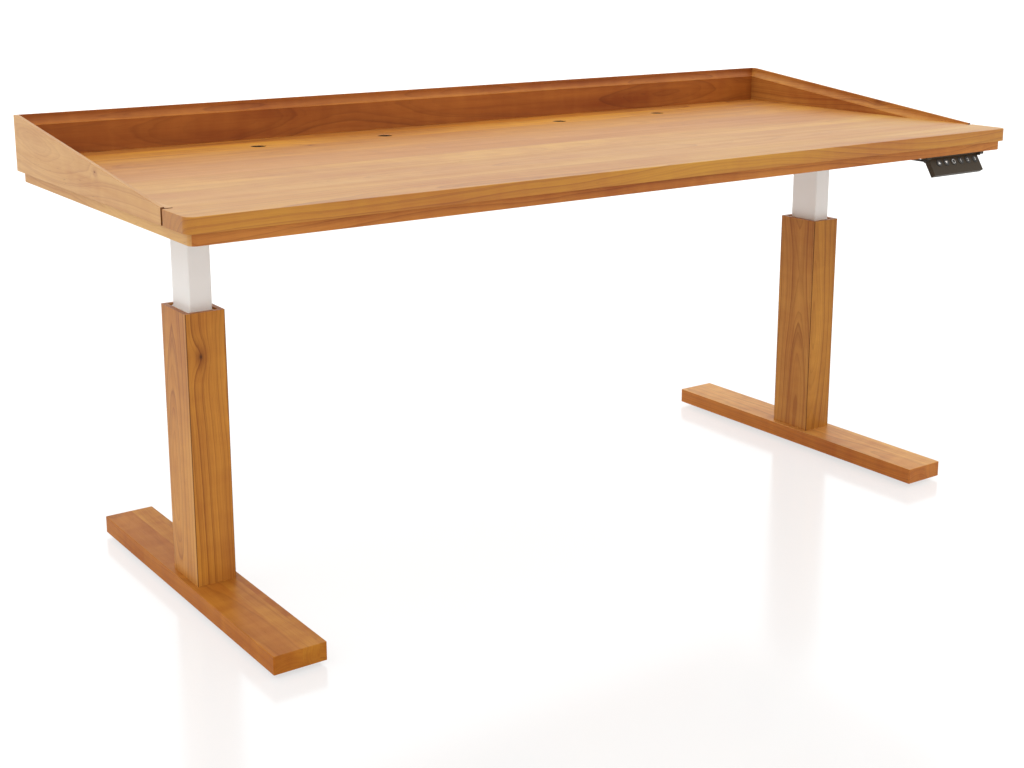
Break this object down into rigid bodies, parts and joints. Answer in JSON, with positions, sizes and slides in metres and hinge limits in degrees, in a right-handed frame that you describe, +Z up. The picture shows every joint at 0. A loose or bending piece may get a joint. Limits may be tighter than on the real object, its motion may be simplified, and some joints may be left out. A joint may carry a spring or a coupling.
{
  "type": "height adjustable standing desk",
  "caption": "Height adjustable standing desk: solid wood top with a low tapering gallery on two T-shaped legs with telescopic lifting columns and a push-button handset.",
  "frame": {"origin": "on the floor, under the middle of the desktop", "axes": "+Z up, +X along the desktop to the sitter's right, +Y to the back gallery"},
  "size_m": [1.8288, 0.762, 0.8322],
  "materials": {
    "cherry_top": "hand-rubbed oil, long grain",
    "cherry_rail": "hand-rubbed oil",
    "cherry_gallery": "hand-rubbed oil",
    "cherry_post": "hand-rubbed oil",
    "cherry_foot": "hand-rubbed oil",
    "leveler_black": "moulded nylon",
    "white_steel": "satin white powder coat",
    "white_plastic": "moulded",
    "plain_steel": "turned",
    "black_steel": "black powder coat",
    "brass": "machined",
    "cast_alloy": "as cast",
    "black_plastic": "fine texture",
    "panel_plastic": "fine texture",
    "circuit_green": "solder mask",
    "button_black": "soft touch",
    "lead_rubber": "smooth"
  },
  "bodies": {
    "base": {"left_post_front": "cherry_post", "left_post_back": "cherry_post", "left_post_inner": "cherry_post", "left_post_outer": "cherry_post", "left_foot": "cherry_foot", "left_outer_tube": "white_steel", "right_post_front": "cherry_post", "right_post_back": "cherry_post", "right_post_inner": "cherry_post", "right_post_outer": "cherry_post", "right_foot": "cherry_foot", "right_outer_tube": "white_steel", "leveler_inserts": "brass", "outer_glides": "white_plastic", "fixed_screws": "plain_steel", "foot_bolts": "plain_steel"},
    "left_mid": {"left_mid_tube": "white_steel", "left_mid_glide": "white_plastic"},
    "right_mid": {"right_mid_tube": "white_steel", "right_mid_glide": "white_plastic"},
    "desktop": {"top_board": "cherry_top", "front_rail": "cherry_rail", "back_rail": "cherry_rail", "left_rail": "cherry_rail", "right_rail": "cherry_rail", "back_gallery": "cherry_gallery", "left_gallery": "cherry_gallery", "right_gallery": "cherry_gallery", "left_inner_tube": "white_steel", "left_side_bracket": "black_steel", "right_inner_tube": "white_steel", "right_side_bracket": "black_steel", "lift_nuts": "brass", "front_crossbeam": "black_steel", "rear_crossbeam": "black_steel", "gearboxes": "cast_alloy", "motors": "black_plastic", "control_box_case": "black_plastic", "control_box_lid": "black_plastic", "lead_clips": "black_plastic", "handset_housing": "panel_plastic", "handset_cover": "panel_plastic", "handset_board": "circuit_green", "motor_leads": "lead_rubber", "handset_lead": "lead_rubber", "wood_screws": "plain_steel"},
    "left_screw": {"left_hollow_screw": "plain_steel"},
    "left_rod": {"left_drive_rod": "plain_steel"},
    "left_front_leveler": {"left_front_leveler": "leveler_black"},
    "left_back_leveler": {"left_back_leveler": "leveler_black"},
    "right_screw": {"right_hollow_screw": "plain_steel"},
    "right_rod": {"right_drive_rod": "plain_steel"},
    "right_front_leveler": {"right_front_leveler": "leveler_black"},
    "right_back_leveler": {"right_back_leveler": "leveler_black"},
    "button_1": {"button_1": "button_black"},
    "button_2": {"button_2": "button_black"},
    "button_3": {"button_3": "button_black"},
    "button_4": {"button_4": "button_black"},
    "button_5": {"button_5": "button_black"},
    "button_6": {"button_6": "button_black"}
  },
  "joints": [
    {"name": "left_lift", "type": "slide", "parent": "base", "child": "left_mid", "axis": [0, 0, 1], "range_m": [-0.05, 0.275]},
    {"name": "right_lift", "type": "slide", "parent": "base", "child": "right_mid", "axis": [0, 0, 1], "range_m": [-0.05, 0.275]},
    {"name": "desktop_lift", "type": "slide", "parent": "left_mid", "child": "desktop", "axis": [0, 0, 1], "range_m": [-0.05, 0.275]},
    {"name": "left_screw_spin", "type": "hinge", "parent": "left_mid", "child": "left_screw", "pos_m": [-0.747, 0.008, 0.45], "axis": [0, 0, 1], "range_deg": [-1802, 9902]},
    {"name": "left_rod_spin", "type": "hinge", "parent": "desktop", "child": "left_rod", "pos_m": [-0.747, 0.008, 0.45], "axis": [0, 0, 1], "range_deg": [-1802, 9902]},
    {"name": "right_screw_spin", "type": "hinge", "parent": "right_mid", "child": "right_screw", "pos_m": [0.747, 0.008, 0.45], "axis": [0, 0, 1], "range_deg": [-1802, 9902]},
    {"name": "right_rod_spin", "type": "hinge", "parent": "desktop", "child": "right_rod", "pos_m": [0.747, 0.008, 0.45], "axis": [0, 0, 1], "range_deg": [-1802, 9902]},
    {"name": "left_front_level", "type": "slide", "parent": "base", "child": "left_front_leveler", "axis": [0, 0, 1], "range_m": [-0.012, 0.0039]},
    {"name": "left_back_level", "type": "slide", "parent": "base", "child": "left_back_leveler", "axis": [0, 0, 1], "range_m": [-0.012, 0.0039]},
    {"name": "right_front_level", "type": "slide", "parent": "base", "child": "right_front_leveler", "axis": [0, 0, 1], "range_m": [-0.012, 0.0039]},
    {"name": "right_back_level", "type": "slide", "parent": "base", "child": "right_back_leveler", "axis": [0, 0, 1], "range_m": [-0.012, 0.0039]},
    {"name": "button_1_press", "type": "slide", "parent": "desktop", "child": "button_1", "axis": [0, 0.848, -0.5299], "range_m": [0, 0.001], "stiffness_N_per_m": 600, "springref_m": -0.001},
    {"name": "button_2_press", "type": "slide", "parent": "desktop", "child": "button_2", "axis": [0, 0.848, -0.5299], "range_m": [0, 0.001], "stiffness_N_per_m": 600, "springref_m": -0.001},
    {"name": "button_3_press", "type": "slide", "parent": "desktop", "child": "button_3", "axis": [0, 0.848, -0.5299], "range_m": [0, 0.001], "stiffness_N_per_m": 600, "springref_m": -0.001},
    {"name": "button_4_press", "type": "slide", "parent": "desktop", "child": "button_4", "axis": [0, 0.848, -0.5299], "range_m": [0, 0.001], "stiffness_N_per_m": 600, "springref_m": -0.001},
    {"name": "button_5_press", "type": "slide", "parent": "desktop", "child": "button_5", "axis": [0, 0.848, -0.5299], "range_m": [0, 0.001], "stiffness_N_per_m": 600, "springref_m": -0.001},
    {"name": "button_6_press", "type": "slide", "parent": "desktop", "child": "button_6", "axis": [0, 0.848, -0.5299], "range_m": [0, 0.001], "stiffness_N_per_m": 600, "springref_m": -0.001}
  ],
  "couplings": [
    {"joint": "right_lift", "follows": "left_lift", "ratio": 1},
    {"joint": "desktop_lift", "follows": "left_lift", "ratio": 1},
    {"joint": "left_screw_spin", "follows": "left_lift", "rad_per_m": 628.32},
    {"joint": "left_rod_spin", "follows": "left_lift", "rad_per_m": 628.32},
    {"joint": "right_screw_spin", "follows": "left_lift", "rad_per_m": 628.32},
    {"joint": "right_rod_spin", "follows": "left_lift", "rad_per_m": 628.32}
  ]
}
